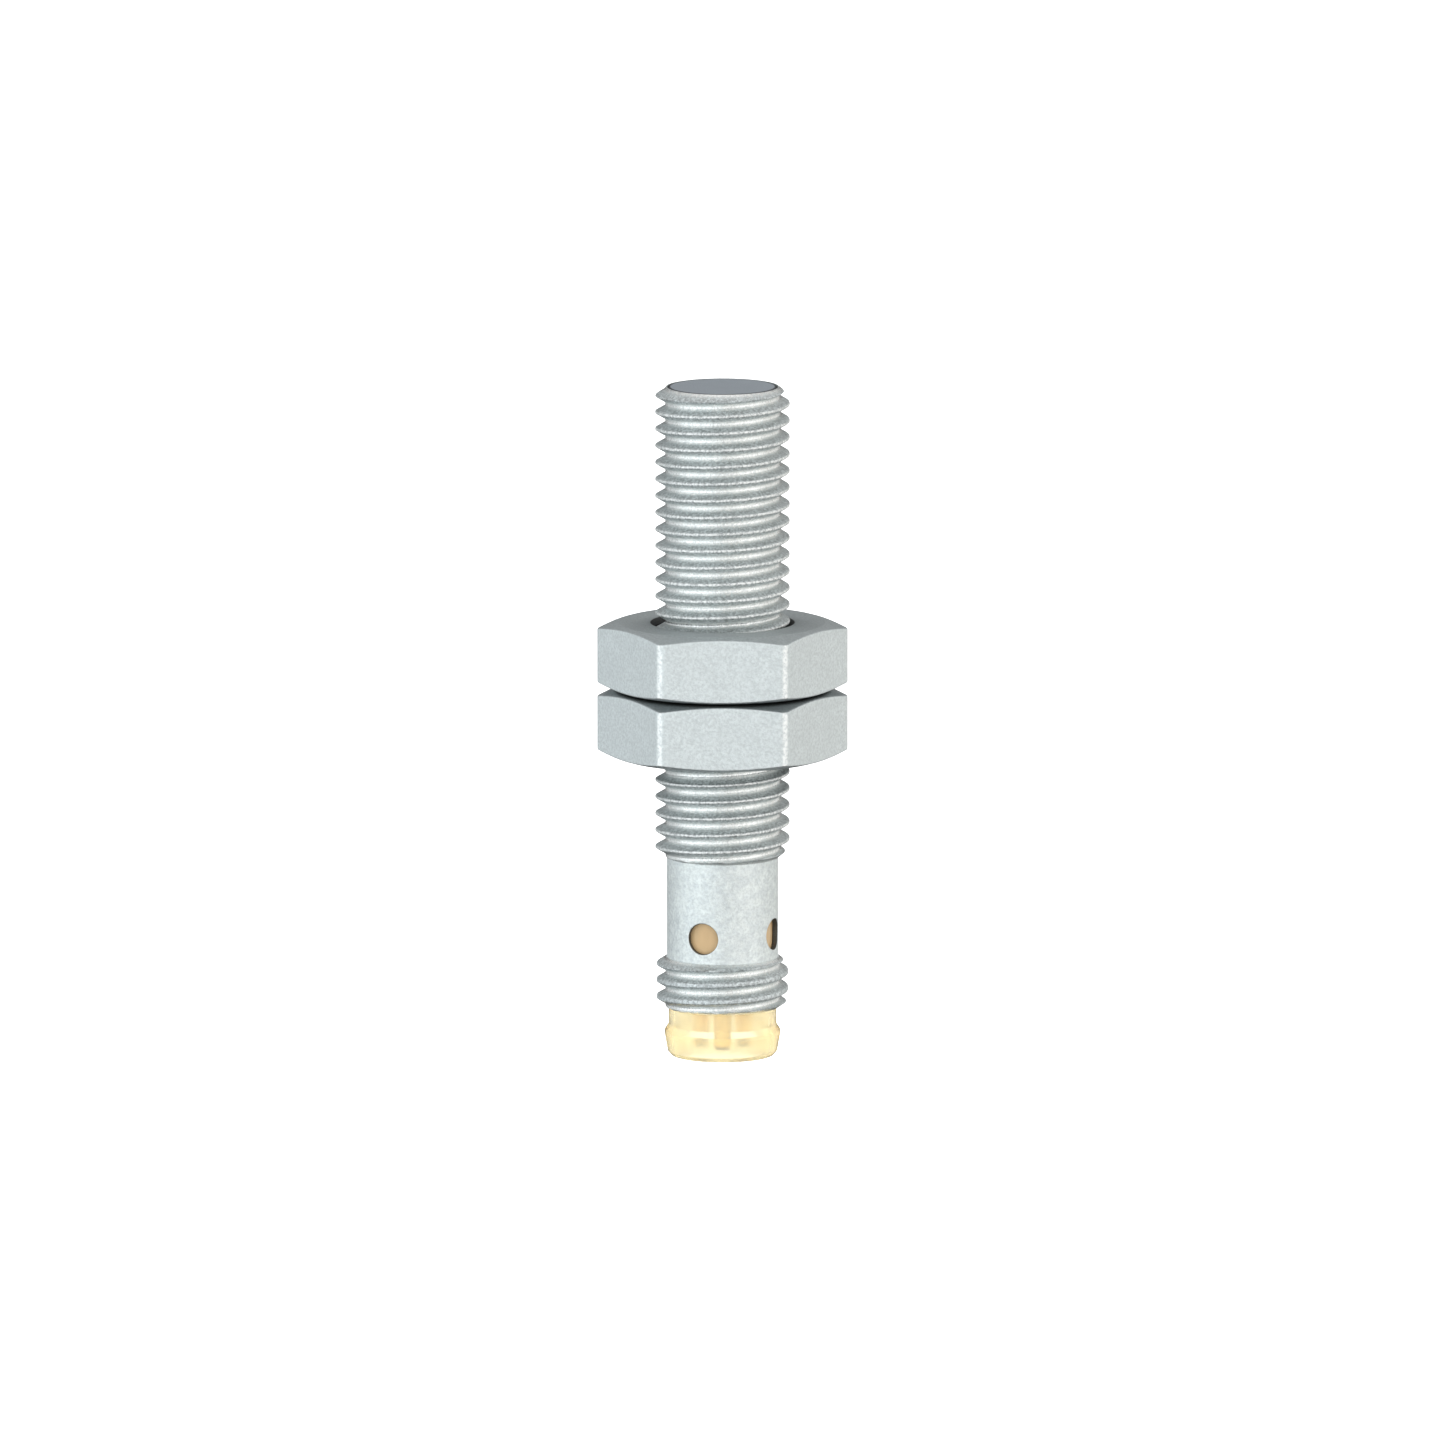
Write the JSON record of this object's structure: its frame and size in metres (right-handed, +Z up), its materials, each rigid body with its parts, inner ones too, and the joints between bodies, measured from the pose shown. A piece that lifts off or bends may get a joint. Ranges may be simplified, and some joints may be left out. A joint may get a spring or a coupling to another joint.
{
  "type": "inductive proximity sensor",
  "caption": "Threaded cylindrical inductive proximity sensor with lock nuts, a flush plastic sensing face, status windows and a snap-in plug connector.",
  "frame": {"origin": "centre of the sensing face", "axes": "+Z out of the sensing face along the sleeve's axis, towards the target; -Y square to one flat of each lock nut, on the side of contact pin 4; +X to the right when looking along +Y with +Z up"},
  "size_m": [0.0148, 0.013, 0.04],
  "materials": {
    "plated_metal": "matte bead-blasted white bronze plating on turned brass, fine grain",
    "sensing_plastic": "matte blue-grey moulded plastic",
    "amber_plastic": "translucent amber moulded plastic",
    "gold_contact": "smooth gold plating",
    "ferrite": "matte pressed and sintered",
    "bobbin_plastic": "matte moulded",
    "copper": "lacquered wire",
    "screen_foil": "rolled foil",
    "board": "glossy solder mask over glass fibre",
    "chip_plastic": "matte moulded",
    "capacitor_ceramic": "sintered",
    "resistor_ceramic": "glazed",
    "led_body": "clear moulded",
    "solder": "bright reflowed",
    "potting": "cast resin"
  },
  "bodies": {
    "sensor": {"threaded_sleeve": "plated_metal", "sensing_cap": "sensing_plastic", "ferrite_core": "ferrite", "coil_bobbin": "bobbin_plastic", "coil_winding": "copper", "coil_leads": "copper", "shield_ring": "screen_foil", "circuit_board": "board", "oscillator_chip": "chip_plastic", "output_transistor": "chip_plastic", "protection_diode": "chip_plastic", "chip_capacitors": "capacitor_ceramic", "chip_resistors": "resistor_ceramic", "status_leds": "led_body", "connector_insert": "amber_plastic", "contact_pin_1": "gold_contact", "contact_pin_3": "gold_contact", "contact_pin_4": "gold_contact", "solder_joints": "solder", "potting_compound": "potting"},
    "front_nut": {"front_lock_nut": "plated_metal"},
    "rear_nut": {"rear_lock_nut": "plated_metal"}
  },
  "joints": [
    {"name": "front_nut_travel", "type": "slide", "parent": "sensor", "child": "front_nut", "axis": [0, 0, 1], "range_m": [0, 0.012]},
    {"name": "rear_nut_travel", "type": "slide", "parent": "sensor", "child": "rear_nut", "axis": [0, 0, 1], "range_m": [-0.006, 0]}
  ]
}
